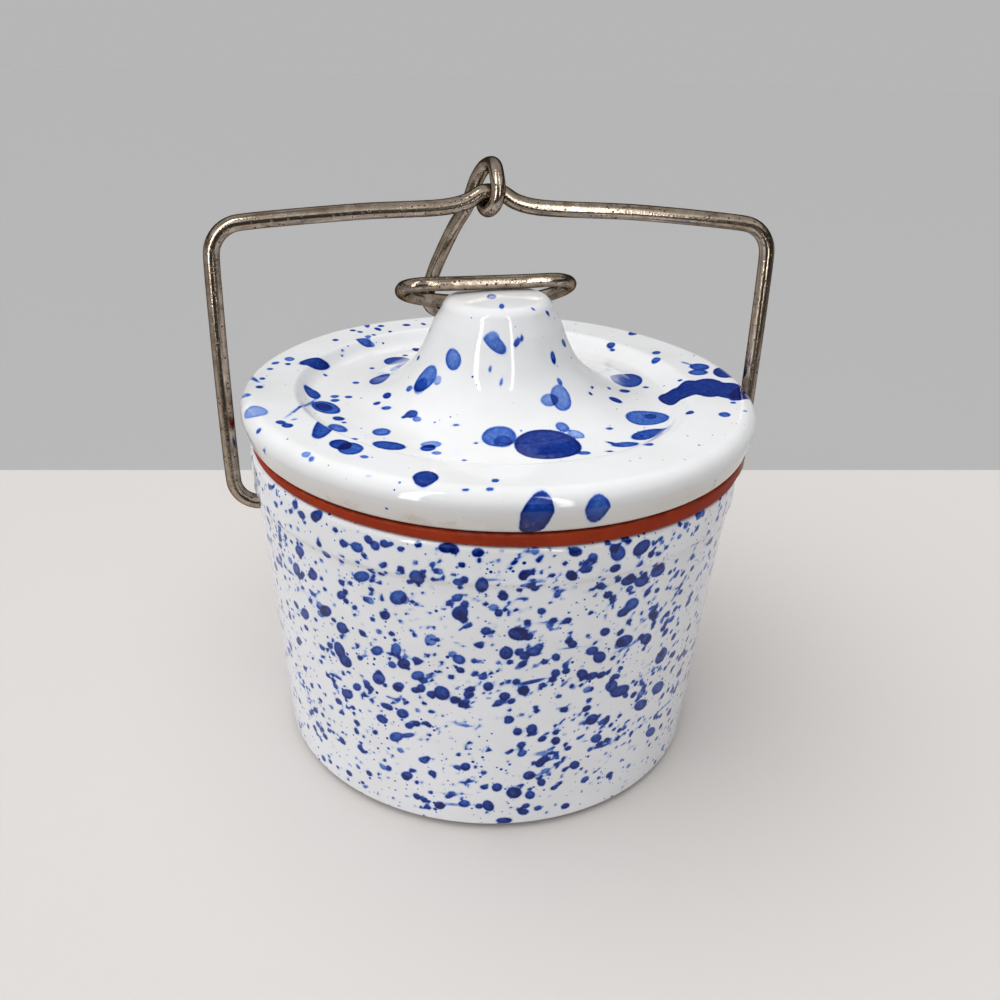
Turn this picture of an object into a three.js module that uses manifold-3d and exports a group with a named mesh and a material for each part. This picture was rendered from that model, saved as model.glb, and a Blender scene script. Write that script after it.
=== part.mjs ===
// Stoneware crock with a knobbed lid, a rubber gasket, a wire bail and a wire clamp.
// Millimetres, +Z up, the base on z = 0. X runs along the bail's pivots and -Y is the front.
import * as THREE from "three";
import Module from "manifold-3d";

const wasm = await Module();
wasm.setup();

// General
const lidDiameter = 130;
const bailWire = 3.8;
const clampWire = 3.3;
const restGap = 0.3; // left between pieces that touch in the real thing

// Crock, outside. The collar stands in from the lid's edge, and the wall tapers from it to the foot.
const rimHeight = 84.1;
const rimRound = 1.3;
const lidOverhang = 2.5;
const collarBand = 8.6; // height of the collar under the rim
const collarStep = 0.8; // by which the collar stands out from the wall
const collarEase = 2.4; // height over which it does
const waistTaper = 2.2; // of the radius from the collar's foot to half height
const footTaper = 2.7; // of the radius from half height to the foot
const footRound = 2.4;

// Crock, inside
const rimThickness = 5.7;
const shoulderWall = 6.1;
const waistWall = 7.5;
const footWall = 6.8;
const mouthDepth = 8.1; // of the straight mouth below the rim
const floorThickness = 7;
const floorCurve = 10; // height of the curve from the floor to the wall
const floorCurveReach = 9;

// Gasket, a flat ring between the crock's rim and the lid
const gasketThickness = 2.6;
const gasketWidth = 7.4;
const gasketRound = 0.7;
const gasketClearance = 0.4; // round the lid's plug

// Lid, outside
const flangeThickness = 10.2; // from the underside to the top of the raised rim
const lidOffset = 0.4; // the lid sits a little to the right of the crock's axis
const lidEdgeRound = 3.8;
const lidUnderRound = 1.4;
const lidUndercut = 1.3; // by which the foot of the edge stands in from its widest part
const lidRimWidth = 14;
const wellSlope = 5.6; // width of the step from the raised rim down to the well
const wellDepth = 3.2;
const wellFlatWidth = 5.4;
const knobRise = 22.2; // of the knob's top above the raised rim
const knobTopRadius = 14;
const knobTopRound = 3.3;
const knobDome = 0.25;
// Outline of the flare: shares of its reach out from the knob's top, and of its depth below it
const flareShares = [
  [0.769, 0.969],
  [0.538, 0.874],
  [0.377, 0.76],
  [0.242, 0.614],
  [0.146, 0.441],
  [0.065, 0.24],
];

// Lid, underside
const plugClearance = 1.6; // round the plug in the crock's mouth
const plugDepth = 5;
const plugWall = 7.2;
const plugChamfer = 1;
const crownThickness = 6; // of the lid over its hollow
const crownEase = 2;
const hollowRadius = 7; // inside the knob
const hollowFlare = 23; // from there to the hollow's mouth
const hollowRound = 5;
const hollowCover = 10; // left solid between the hollow and the knob's top

// Bail
const pivotDrop = 18.4; // of the pivots below the crock's rim
const pivotDepth = 4.2; // of each end of the wire in the wall
const holeClearance = 0.35; // round the wire and past its end
const bailSideGap = 1.4; // between the bail and the lid's edge
const bailLean = 1.6; // degrees back of upright
const footBend = 6.5;
const cornerBend = 7.5;
const barRise = 74.9; // of the bar beside the hump above the pivots
const barSag = 2.4; // of the bar's ends below that
const barSagShare = 0.15; // of that sag at the middle of each half
const humpOffset = -2.5;
const humpRise = 3.4;
const humpHalfWidth = 10.5;
// Outline of the hump: shares of its half width out from the middle, and of its rise
const humpShares = [
  [1, 0],
  [0.55, 0.36],
  [0.21, 0.95],
];

// Clamp
const barLength = 36;
const barOffset = -1.9;
const barBehindKnob = 4.4;
const barTurn = 5.9; // degrees that the bar is turned from the bail's plane
const loopGap = 3.4; // by which the loop reaches further back from the bar than the knob's radius
const loopDrop = 11.8; // of the loop's lower run below the bar
// Course of the wire round the bail, in shares of the eye's radius from the middle of the hump
const eyeShares = [
  [-0.31, 1.065, -0.34],
  [-0.415, 0.57, -0.91],
  [-0.235, -0.21, -1.04],
  [0.05, -0.857, -0.623],
  [0.234, -1.04, 0.104],
  [0.182, -0.805, 0.987],
  [-0.13, -0.104, 1.636],
  [-0.44, 0.83, 1.4],
];
// Course of the leg, in shares of the way from the middle of the hump to the loop's first point
const legShares = [
  [0.206, 0.373, -0.064],
  [0.346, 0.482, 0.135],
  [0.566, 0.602, 0.322],
  [0.765, 0.723, 0.528],
  [0.919, 0.843, 0.715],
  [1.007, 0.988, 0.901],
];
// Course of the loop from the middle of the bar, in shares of half the bar's length, of the loop's
// reach and of its drop
const lowerRunShares = [
  [-0.79, 0.83, -0.76],
  [-0.66, 0.955, -0.98],
  [-0.35, 1, -1],
  [0.055, 0.99, -0.93],
  [0.5, 0.9, -0.78],
  [0.91, 0.71, -0.575],
  [1.145, 0.517, -0.356],
  [1.19, 0.3, -0.153],
];
const upperRunShares = [
  [-1.178, 0.006, -0.093],
  [-1.217, 0.172, -0.246],
  [-1.133, 0.333, -0.39],
  [-0.956, 0.466, -0.508],
  [-0.683, 0.592, -0.61],
  [-0.35, 0.77, -0.712],
  [-0.19, 0.816, -0.737],
];

// Resolution
const turnSegments = 72;
const wireSides = 12;
const bailSteps = 110;
const clampSteps = 140;
const bendSteps = 4;

// Derived radii
const lidRadius = lidDiameter / 2;
const collarRadius = lidRadius - lidOverhang;
const shoulderRadius = collarRadius - collarStep;
const waistRadius = shoulderRadius - waistTaper;
const footRadius = waistRadius - footTaper;
const mouthRadius = collarRadius - rimThickness;
const innerFootRadius = footRadius - footWall;
const plugRadius = mouthRadius - plugClearance;
const plugInnerRadius = plugRadius - plugWall;
const gasketInnerRadius = plugRadius + gasketClearance;
const gasketOuterRadius = gasketInnerRadius + gasketWidth;
const rimInnerRadius = lidRadius - lidRimWidth;
const wellRadius = rimInnerRadius - wellSlope;
const wellFlatRadius = wellRadius - wellFlatWidth;
const bailHalfWidth = lidRadius + bailSideGap + bailWire / 2;

// Derived heights
const waistHeight = rimHeight / 2;
const collarHeight = rimHeight - collarBand;
const shoulderHeight = collarHeight - collarEase;
const pivotHeight = rimHeight - pivotDrop;
const gasketBottom = rimHeight + restGap;
const gasketTop = gasketBottom + gasketThickness;
const lidUnderside = gasketTop + restGap;
const plugBottom = lidUnderside - plugDepth;
const lidRim = lidUnderside + flangeThickness;
const wellFloor = lidRim - wellDepth;
const crownUnderside = wellFloor - crownThickness;
const knobTop = lidRim + knobRise;
const hollowTop = knobTop - hollowCover;

const glaze = new THREE.MeshStandardMaterial({ color: 0xf2f0ea, roughness: 0.12 });
const rubber = new THREE.MeshStandardMaterial({ color: 0x9c3f22, roughness: 0.75 });
const steel = new THREE.MeshStandardMaterial({ color: 0x9a9186, roughness: 0.32, metalness: 1 });

// Points of an arc about (x, y) between two angles in degrees.
function arc(x, y, radius, from, to, steps = bendSteps) {
  return Array.from({ length: steps + 1 }, (_, i) => {
    const angle = THREE.MathUtils.degToRad(from + ((to - from) * i) / steps);
    return [x + radius * Math.cos(angle), y + radius * Math.sin(angle)];
  });
}

// Points of a step that starts and ends level.
function easedStep([x0, y0], [x1, y1], steps = bendSteps) {
  return Array.from({ length: steps + 1 }, (_, i) => {
    const share = i / steps;
    return [x0 + (x1 - x0) * share, y0 + ((y1 - y0) * (1 - Math.cos(Math.PI * share))) / 2];
  });
}

// Points of a smooth curve through the given ones.
function smooth(points, count) {
  const curve = new THREE.SplineCurve(points.map(([x, y]) => new THREE.Vector2(x, y)));
  return curve.getSpacedPoints(count).map((p) => [p.x, p.y]);
}

// A solid of revolution about Z. Its profile starts and ends on the axis, or closes on itself.
function turned(profile) {
  const points = profile.map(([radius, height]) => new THREE.Vector2(radius, height));
  return new THREE.LatheGeometry(points, turnSegments).rotateX(Math.PI / 2);
}

function wire(curve, diameter, steps) {
  const section = new THREE.Shape();
  section.absarc(0, 0, diameter / 2, 0, 2 * Math.PI, false);
  return new THREE.ExtrudeGeometry(section, {
    extrudePath: curve,
    steps,
    curveSegments: wireSides / 2,
  });
}

// The closed solid that a geometry bounds, with equal corners merged.
function solidOf(geometry) {
  const positions = geometry.toNonIndexed().getAttribute("position");
  const numbers = new Map();
  const vertices = [];
  const triangles = [];
  for (let i = 0; i < positions.count; i += 3) {
    const corners = [0, 1, 2].map((k) => {
      const at = new THREE.Vector3().fromBufferAttribute(positions, i + k).toArray();
      const key = at.map((v) => v.toFixed(4).replace("-0.0000", "0.0000")).join();
      if (!numbers.has(key)) {
        numbers.set(key, numbers.size);
        vertices.push(...at);
      }
      return numbers.get(key);
    });
    if (new Set(corners).size === 3) triangles.push(...corners);
  }
  return new wasm.Manifold(new wasm.Mesh({
    numProp: 3,
    vertProperties: new Float32Array(vertices),
    triVerts: new Uint32Array(triangles),
  }));
}

function geometryOf(solid) {
  const { vertProperties, triVerts } = solid.getMesh();
  const geometry = new THREE.BufferGeometry();
  geometry.setAttribute("position", new THREE.BufferAttribute(vertProperties, 3));
  geometry.setIndex(new THREE.BufferAttribute(triVerts, 1));
  const faceted = geometry.toNonIndexed();
  faceted.computeVertexNormals();
  return faceted;
}

function piece(name, geometry, material) {
  const mesh = new THREE.Mesh(geometry, material);
  mesh.name = name;
  return mesh;
}

// Crock, with a blind hole on each side for the bail
const wall = smooth([[footRadius, footRound], [waistRadius, waistHeight],
  [shoulderRadius, shoulderHeight]], 6);
const crockProfile = [
  [0, 0],
  ...arc(footRadius - footRound, footRound, footRound, -90, -10),
  ...wall,
  ...easedStep([shoulderHeight, shoulderRadius], [collarHeight, collarRadius])
    .map(([height, radius]) => [radius, height]).slice(1),
  ...arc(collarRadius - rimRound, rimHeight - rimRound, rimRound, 0, 90),
  ...arc(mouthRadius + rimRound, rimHeight - rimRound, rimRound, 90, 180),
  ...smooth([[shoulderRadius - shoulderWall, rimHeight - mouthDepth],
    [waistRadius - waistWall, waistHeight], [innerFootRadius, floorThickness + floorCurve],
    [innerFootRadius - floorCurveReach, floorThickness]], 9),
  [0, floorThickness],
];
const above = wall.findIndex(([, height]) => height > pivotHeight);
const [[radiusBelow, heightBelow], [radiusAbove, heightAbove]] = wall.slice(above - 1, above + 1);
const wallAtPivot = THREE.MathUtils.mapLinear(pivotHeight, heightBelow, heightAbove,
  radiusBelow, radiusAbove);
const bailEnd = wallAtPivot - pivotDepth;
const holeRadius = bailWire / 2 + holeClearance;
const holeDepth = lidRadius - bailEnd + holeClearance;
let crockSolid = solidOf(turned(crockProfile));
for (const side of [-1, 1]) {
  const hole = new THREE.CylinderGeometry(holeRadius, holeRadius, holeDepth, 2 * wireSides)
    .rotateZ(Math.PI / 2)
    .translate(side * (lidRadius - holeDepth / 2), 0, pivotHeight);
  crockSolid = crockSolid.subtract(solidOf(hole));
}
const crock = piece("crock", geometryOf(crockSolid), glaze);

// Lid, from the hollow inside the knob round the plug and the flange to the knob's top
const flareReach = wellFlatRadius - knobTopRadius;
const flareDepth = knobTop - wellFloor;
const lidProfile = [
  [0, hollowTop],
  ...arc(hollowRadius - hollowRound, hollowTop - hollowRound, hollowRound, 90, 0),
  ...smooth([[hollowRadius, wellFloor + crownThickness],
    [hollowRadius + crownThickness, wellFloor], [hollowRadius + hollowFlare, crownUnderside]], 5),
  [plugInnerRadius - crownEase, crownUnderside],
  [plugInnerRadius, crownUnderside - crownEase],
  [plugInnerRadius, plugBottom + plugChamfer],
  [plugInnerRadius + plugChamfer, plugBottom],
  [plugRadius - plugChamfer, plugBottom],
  [plugRadius, plugBottom + plugChamfer],
  [plugRadius, lidUnderside],
  ...arc(lidRadius - lidUndercut - lidUnderRound, lidUnderside + lidUnderRound, lidUnderRound,
    -90, -5, 3),
  ...arc(lidRadius - lidEdgeRound, lidRim - lidEdgeRound, lidEdgeRound, -8, 90, 6),
  ...easedStep([rimInnerRadius, lidRim], [wellRadius, wellFloor], 6),
  ...smooth([[wellFlatRadius, wellFloor], ...flareShares.map(([reach, depth]) =>
    [knobTopRadius + flareReach * reach, knobTop - flareDepth * depth])], 12),
  ...arc(knobTopRadius - knobTopRound, knobTop - knobTopRound, knobTopRound, 15, 88),
  [0, knobTop + knobDome],
];
const lid = piece("lid", turned(lidProfile).translate(lidOffset, 0, 0), glaze);

// Gasket
const gasketProfile = [
  [gasketInnerRadius, gasketBottom],
  ...arc(gasketOuterRadius - gasketRound, gasketBottom + gasketRound, gasketRound, -90, 0, 2),
  ...arc(gasketOuterRadius - gasketRound, gasketTop - gasketRound, gasketRound, 0, 90, 2),
  [gasketInnerRadius, gasketTop],
  [gasketInnerRadius, gasketBottom],
];
const gasket = piece("gasket", turned(gasketProfile).translate(lidOffset, 0, 0), rubber);

// Bail, drawn in its own plane from the pivots and then leaned back
const barEndRise = barRise - barSag;
const halfBail = [
  [-bailEnd, 0],
  ...arc(footBend - bailHalfWidth, footBend, footBend, -90, -180, 6),
  ...arc(cornerBend - bailHalfWidth, barEndRise - cornerBend, cornerBend, 180, 95, 6),
  [-bailHalfWidth / 2, barRise - barSag * barSagShare],
];
const halfHump = humpShares.map(([out, rise]) => [-humpHalfWidth * out, humpRise * rise]);
const bailPlane = [
  ...halfBail,
  ...halfHump.map(([x, rise]) => [humpOffset + x, barRise + rise]),
  [humpOffset, barRise + humpRise],
  ...halfHump.map(([x, rise]) => [humpOffset - x, barRise + rise]).reverse(),
  ...halfBail.map(([x, rise]) => [-x, rise]).reverse(),
];
const lean = new THREE.Matrix4()
  .makeRotationX(-THREE.MathUtils.degToRad(bailLean))
  .setPosition(0, 0, pivotHeight);
const onBail = (x, rise) => new THREE.Vector3(x, 0, rise).applyMatrix4(lean);
const bailCourse = new THREE.CatmullRomCurve3(bailPlane.map(([x, rise]) => onBail(x, rise)));
const bail = piece("bail", wire(bailCourse, bailWire, bailSteps), steel);

// Clamp, whose eye hangs on the hump and whose bar bears on the knob
const humpCentre = onBail(humpOffset, barRise + humpRise);
const barCentre = new THREE.Vector3(barOffset, barBehindKnob,
  knobTop + knobDome + restGap + clampWire / 2);
const halfBar = new THREE.Vector3(barLength / 2, 0, 0)
  .applyAxisAngle(new THREE.Vector3(0, 0, 1), THREE.MathUtils.degToRad(barTurn));
const eyeRadius = (bailWire + clampWire) / 2 + restGap;
const eyeSize = new THREE.Vector3(eyeRadius, eyeRadius, eyeRadius);
const loopSize = new THREE.Vector3(barLength / 2, knobTopRadius + loopGap, loopDrop);
const course = (shares, size, from) =>
  shares.map((row) => new THREE.Vector3(...row).multiply(size).add(from));
const lowerRun = course(lowerRunShares, loopSize, barCentre);
const clampCourse = new THREE.CatmullRomCurve3([
  ...course(eyeShares, eyeSize, humpCentre),
  ...course(legShares, lowerRun[0].clone().sub(humpCentre), humpCentre),
  ...lowerRun,
  ...[1, 0.5, 0, -0.5, -1].map((share) => halfBar.clone().multiplyScalar(share).add(barCentre)),
  ...course(upperRunShares, loopSize, barCentre),
]);
const clamp = piece("clamp", wire(clampCourse, clampWire, clampSteps), steel);

export default new THREE.Group().add(crock, lid, gasket, bail, clamp);
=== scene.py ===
import math

import bpy
import numpy as np
from mathutils import Matrix, Vector
from mathutils.bvhtree import BVHTree
from mathutils.kdtree import KDTree


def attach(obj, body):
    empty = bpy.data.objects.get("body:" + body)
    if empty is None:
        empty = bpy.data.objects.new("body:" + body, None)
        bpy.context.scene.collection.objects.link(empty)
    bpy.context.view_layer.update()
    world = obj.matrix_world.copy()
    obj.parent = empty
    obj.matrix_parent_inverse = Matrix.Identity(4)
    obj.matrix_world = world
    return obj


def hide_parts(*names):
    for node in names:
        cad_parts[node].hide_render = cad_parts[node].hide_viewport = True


# A glazed stoneware crock with a splattered lid, a rubber gasket, a wire bail and a wire clamp.
# Lengths are in millimetres, and MM turns them into Blender's metres.

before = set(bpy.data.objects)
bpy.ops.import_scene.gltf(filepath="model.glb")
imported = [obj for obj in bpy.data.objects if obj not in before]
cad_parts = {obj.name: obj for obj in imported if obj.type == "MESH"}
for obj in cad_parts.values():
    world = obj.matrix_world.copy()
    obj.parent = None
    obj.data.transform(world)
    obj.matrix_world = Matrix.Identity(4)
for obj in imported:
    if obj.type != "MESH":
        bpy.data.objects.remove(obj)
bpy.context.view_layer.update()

MM = 0.001
rng = np.random.default_rng(11)

# Camera, fitted to the photograph, and the photograph's frame
CAMERA_PLACE = (-36.9, -231.4, 181.1)
CAMERA_HEADING = -9.257
CAMERA_TILT = 63.151
CAMERA_ROLL = 1.903
FOCAL_PIXELS = 961.07
FRAME_PIXELS = 1000
CENTRE_PIXEL = (496.85, 502.75)
SENSOR = 36.0

# Meshes
SHARP_EDGE = 50  # degrees from which an edge is not smoothed
GLAZED_SIDES = 480  # of the crock and the lid
GASKET_SIDES = 256
HOLE_SIDES = 48

# Crock, as points (radius, height) where a name holds two numbers
RIM_HEIGHT = 83.7
RIM_ROUND = 1.3
COLLAR_RADIUS = 62.5
COLLAR_HEIGHT = 75.5
SHOULDER = (61.7, 73.1)
WAIST = (59.5, 42.05)
FOOT_RADIUS = 57.3
FOOT_ROUND = 0.8
FOOT_RING = (51.0, 1.9)  # the narrower ring that the crock stands on
RING_BEVEL = 0.4
MOUTH_RADIUS = 56.8
INNER_SHOULDER = (55.6, 76.0)
INNER_WAIST = (52.0, 42.05)
INNER_FOOT = (50.0, 17.0)
FLOOR = (41.0, 7.0)
PIVOT_HEIGHT = 65.7
HOLE_RADIUS = 2.25
HOLE_BOTTOM = 56.62
HOLE_LIP = 0.7
HOLE_CLEAR = 2  # how far past the wall the hole is cut
WALL_AT_PIVOT = 61.17
CROCK_SPREAD = 0.25  # the thrown wall is a little wider than its plan, and more so to the left
CROCK_SHIFT = -0.25
RIM_LEAN = -0.0165  # the rim runs down to the right, and the gasket with it
LEAN_START = 77.0
WALL_MIDDLE = (0.085, 53.0)  # slope and foot radius of a line between the wall's two faces
NO_STAIN = -20.0  # a height where nothing is, for a piece without a stain

# Gasket
GASKET_BOTTOM = 84.0
GASKET_TOP = 86.9
GASKET_OUTER = 63.0
GASKET_INNER = 55.6
GASKET_ROUND = 0.55
# Unevenness: rows are the number of waves round the piece, their height and a turn
GASKET_WAVES = ((3, 0.06, 1), (7, 0.05, 0), (16, 0.03, 0))
GASKET_SHRUNK = 0.1  # keeps the waves inside the plan

# Lid
LID_OFFSET = 0.4
LID_RADIUS = 64.95
LID_UNDERSIDE = 87.3
LID_RIM = 97.5
LID_EDGE_ROUND = 3.8
LID_UNDER_ROUND = 1.9
LID_UNDERCUT = 1.3
RIM_INNER = 51.0
WELL_RADIUS = 45.4
WELL_FLOOR = 94.3
WELL_FLAT = 40.0
KNOB_TOP = 119.6
KNOB_TOP_RADIUS = 14.0
KNOB_TOP_ROUND = 3.4
KNOB_DOME = 0.5
FLARE = ((34.0, 95.1), (28.1, 97.5), (24.0, 100.4), (20.5, 104.1), (18.0, 108.5), (15.9, 113.6))
PLUG_RADIUS = 55.2
PLUG_INNER = 48.0
PLUG_BOTTOM = 82.3
PLUG_ROUND = 1.5
PLUG_CORNER = 2.0
CROWN_UNDERSIDE = 88.3
HOLLOW_RADIUS = 7.0
HOLLOW_MOUTH = 30.0
HOLLOW_TOP = 109.7
HOLLOW_ROUND = 5.0
HOLLOW_FLARE = 6.0
WELL_SHIFT = -2.0  # the dished middle sits left of the rim's centre, and the knob less so
KNOB_SHIFT = -1.0
KNOB_LEAN = 0.022
KNOB_LEAN_START = CROWN_UNDERSIDE + 3
WELL_BLEND = 8  # width of the ring in which the middle's shift grows
LID_WAVES = ((2, 0.12, 0.7), (5, 0.07, 2), (9, 0.04, 0))
LID_SUNK = 0.2  # keeps the waves inside the plan

# Wires
WIRE_SIDES = 28
WIRE_ROUND = 0.5
SKEW_WAY = (0.3, 0.9, 0.2)  # a direction that neither wire starts in

# Bail, in its own plane from the pivots
BAIL_WIRE = 3.8
BAIL_SPACING = 0.6  # from one ring of the mesh to the next
BAIL_END = 56.97
BAIL_HALF_WIDTH = 68.3
BAIL_LEAN = 1.6
FOOT_BEND = 6.5
CORNER_BEND = 8.0
BAR_RISE = 74.9
BAR_SAG = 3.7
HALF_WAY_SAG = 0.34  # share of the sag half-way to a corner
HUMP_OFFSET = -2.5
HUMP_RISE = 3.4
HUMP_HALF_WIDTH = 10.5
HUMP_SHARES = ((1, 0), (0.55, 0.36), (0.21, 0.95))

# Clamp. Shares are of the eye's radius, of the leg from hump to loop, and of the loop
CLAMP_WIRE = 3.5
CLAMP_SPACING = 0.45
EYE_RADIUS = 3.85
BAR_CENTRE = (-1.9, 4.4, 121.9)
BAR_LENGTH = 36.0
BAR_TURN = 5.9
LOOP_REACH = 17.4
LOOP_DROP = 11.8
EYE_SHARES = (
    (-0.31, 1.065, -0.34), (-0.415, 0.57, -0.91), (-0.235, -0.21, -1.04), (0.05, -0.857, -0.623),
    (0.234, -1.04, 0.104), (0.182, -0.805, 0.987), (0.06, -0.104, 1.595), (-0.32, 0.83, 1.38),
)
LEG_SHARES = (
    (0.206, 0.373, -0.064), (0.346, 0.482, 0.135), (0.566, 0.602, 0.322), (0.765, 0.723, 0.528),
    (0.919, 0.843, 0.715), (1.007, 0.988, 0.901),
)
LOWER_RUN_SHARES = (
    (-0.79, 0.83, -0.76), (-0.66, 0.955, -0.98), (-0.35, 1, -1), (0.055, 0.99, -0.93),
    (0.5, 0.9, -0.78), (0.91, 0.71, -0.575), (1.145, 0.517, -0.356), (1.19, 0.3, -0.153),
)
UPPER_RUN_SHARES = (
    (-1.178, 0.006, -0.093), (-1.217, 0.172, -0.246), (-1.133, 0.333, -0.39),
    (-0.956, 0.466, -0.508), (-0.683, 0.592, -0.61), (-0.35, 0.77, -0.712),
    (-0.19, 0.816, -0.737),
)

# Droplets that stand out in the photograph. Rows are the pixel of the middle, the length and the
# width in pixels, the strength of the blue, and the turn in degrees where there is one
LID_DROPS = (
    (548, 446, 66, 29, 1.28, -3), (584, 453, 13, 3.5, 0.7), (499, 437, 33, 21.5, 0.72),
    (503, 442, 18, 12, 0.3), (425.5, 477.5, 25, 13, 1.1), (340.5, 444.5, 22, 10, 1.1, -5),
    (350.5, 448.5, 25, 12, 0.85), (325, 426, 21, 10, 1, -8), (320, 433, 15, 9, 0.9, 20),
    (338, 428, 19, 7, 0.7, -15), (389, 445.5, 33, 8, 0.95, -7), (381.5, 432, 18.5, 7, 0.7),
    (431, 444.5, 20.5, 6.5, 0.45, 3), (428, 448, 15.5, 6, 0.9, 5), (436.5, 453, 9.5, 3.3, 0.55),
    (326, 407.5, 29, 11.5, 0.85, -12), (324, 407, 17, 7, 0.5, -12), (312, 393.5, 18, 8, 0.95, -25),
    (338.5, 418.5, 11.5, 4, 1, -5), (344, 422.5, 4.5, 1.6, 1, -5), (255, 411, 25, 11, 0.42, 4),
    (316, 363, 26, 12, 1.15, -18), (289.5, 359, 10, 4, 0.6), (275.5, 363, 8, 2.5, 0.7, 10),
    (288, 364, 5.5, 2, 0.9), (270, 369, 6, 2, 0.7), (262.5, 378.5, 6, 2.2, 0.8),
    (259.5, 387, 7.5, 2.8, 0.9), (251, 378, 6, 2.2, 0.8, 25), (245, 395.5, 10, 3, 0.6, 25),
    (365, 342, 17, 7.5, 0.9, -25), (372, 344.5, 6, 3.5, 0.5, -35), (368, 336.5, 6, 2.4, 0.6),
    (335.5, 340, 6, 2.2, 0.9), (366.5, 325, 5.5, 1.8, 0.8), (381, 326, 6.5, 2, 0.9),
    (406.5, 325, 7.5, 2.2, 0.95), (390, 331.5, 3, 1.6, 1.3), (342.5, 350.3, 3.2, 2, 0.8, -20),
    (342, 355.7, 3, 2, 0.8, -20), (397, 361, 26, 7, 1, 5), (397.5, 367.5, 15, 3.5, 0.5, 25),
    (380, 379, 22, 7.2, 1, 22), (405.3, 355.3, 5, 1.6, 0.9), (372, 368.3, 4.6, 1.6, 0.9),
    (355.8, 382.7, 6.8, 2.3, 0.7), (325.4, 375.2, 4.2, 2, 0.7, -20), (334.7, 396.5, 8.5, 2.8, 0.65),
    (335, 400.5, 8.5, 2.8, 0.8), (348.6, 397, 7.3, 2.4, 0.8), (387, 395.5, 8.2, 5.6, 1, 20),
    (377, 403.3, 7, 3, 0.85, 12), (386.3, 408, 9.5, 3.5, 0.7, 3), (411.5, 414, 12, 7.5, 0.95, 12),
    (404, 417, 5, 2.6, 0.9, 15), (417, 419.2, 8.6, 5, 0.5), (456, 425, 6.3, 2.1, 0.6),
    (425.7, 379, 31, 15, 0.7, 52), (420.5, 386, 17, 11, 0.28, 52), (453, 359.3, 21, 15.5, 0.66, 98),
    (437.7, 380.5, 10, 6.5, 0.34, 65), (409.2, 388.5, 6.8, 4.6, 0.6, 50),
    (418.3, 357.8, 4.6, 2, 1.1, 65), (494.6, 343, 28.5, 13.5, 0.68, -43),
    (516.8, 342.5, 9.5, 5, 0.85, 65), (522.1, 337.3, 7, 3, 0.75, 82), (490.2, 369, 5.8, 3, 0.6, 80),
    (501.3, 382, 7, 2.6, 0.55, 78), (553.2, 357.5, 12.5, 4.3, 0.9, 102),
    (563.9, 343, 8, 3, 0.9, 110), (559.5, 381.3, 7.5, 3.6, 0.65, 125),
    (561, 398, 27, 18.5, 0.56, 113), (549.5, 400, 17, 12.5, 0.5), (562.5, 427, 14.5, 8.3, 0.6, -20),
    (576.4, 434.5, 17, 7.5, 0.42, -15), (609.5, 428.6, 7, 2.3, 0.75),
    (626, 380.3, 32, 13, 0.98, -5), (624.6, 391, 10, 3, 0.95, -5), (615.7, 400, 13, 4, 1.1, -20),
    (611, 345, 8.4, 5.6, 0.95, 20), (612.5, 350, 5, 2.6, 0.85), (656.3, 352.7, 8.3, 3.3, 0.8, 5),
    (656, 360, 9.5, 5.6, 0.8, 25), (633.6, 333, 10, 2.6, 1), (699.3, 366.8, 19.5, 6.5, 0.95, -3),
    (698.2, 372.4, 18.5, 5.6, 0.85), (685.4, 363, 9, 1.6, 0.45, -15),
    (724, 372.5, 21.5, 8.5, 1.2, -12), (673, 397.5, 27, 14, 1.3, 30), (690, 388, 34, 16, 1.3, 13),
    (709, 387.5, 36, 18, 1.3, -3), (731, 390.5, 38, 16, 1.3, -4), (744, 393, 24, 11, 1.2, -12),
    (647, 418, 42, 14.5, 0.75), (650.5, 416.4, 12, 5, 0.4), (648.8, 434.3, 35, 9.5, 0.95, 10),
    (625.5, 444.5, 27, 4.8, 0.85, 3), (610.4, 442.7, 9, 1.6, 1.1, -10),
    (648.2, 444.3, 10.7, 2.6, 0.8), (609.5, 451.3, 8, 1.5, 1.1), (689.8, 412.5, 8.5, 3.2, 0.95, 12),
    (724.6, 414.6, 11.5, 4.8, 0.75, -3), (733.2, 402.7, 6, 1.9, 0.85), (745.2, 411, 5, 1.5, 0.6),
    (680, 380.3, 4.6, 1.9, 0.85, 15), (645.7, 387.3, 5.8, 2, 0.75),
    (590.5, 393.6, 4.2, 1.9, 1.1, -35), (592.1, 387.3, 2.8, 2.2, 1, -35),
    (609, 388.2, 4.2, 2, 0.65, -30), (280.6, 422.2, 9.3, 3.6, 0.9), (287.6, 425.6, 11, 4.3, 0.9, 3),
    (294.4, 419.3, 6, 1.9, 0.45, 15), (258.6, 430.8, 7, 3.3, 0.7, 50),
    (264.2, 453.2, 8, 2.3, 0.9, 100), (364.4, 456.8, 8.6, 3.2, 0.55, -5),
    (306, 454.3, 9.3, 5.3, 0.42, 15), (311.6, 459, 6.3, 4.3, 0.6, 40),
    (495.3, 480.5, 7.3, 3.5, 0.85), (489.9, 489, 7.3, 3.7, 0.7), (465.5, 489.8, 6, 2.8, 0.95),
    (369, 476, 3.8, 1.9, 0.4), (464.2, 460.3, 5, 1.5, 1.1), (476, 443, 4.4, 1.8, 0.7),
    (353.6, 439.1, 8.3, 2, 0.75), (303, 406, 12, 1.7, 0.95, 3), (536.3, 517, 42, 27, 1.2, 40),
    (597.5, 511, 29, 20, 0.9, 40), (491.5, 296.5, 8.8, 5, 0.55), (501.7, 306.3, 4.8, 4.6, 0.7),
    (533.1, 308.9, 4.4, 2, 0.5, -35), (547.4, 312.7, 4.2, 2.2, 1, -50),
)
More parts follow.
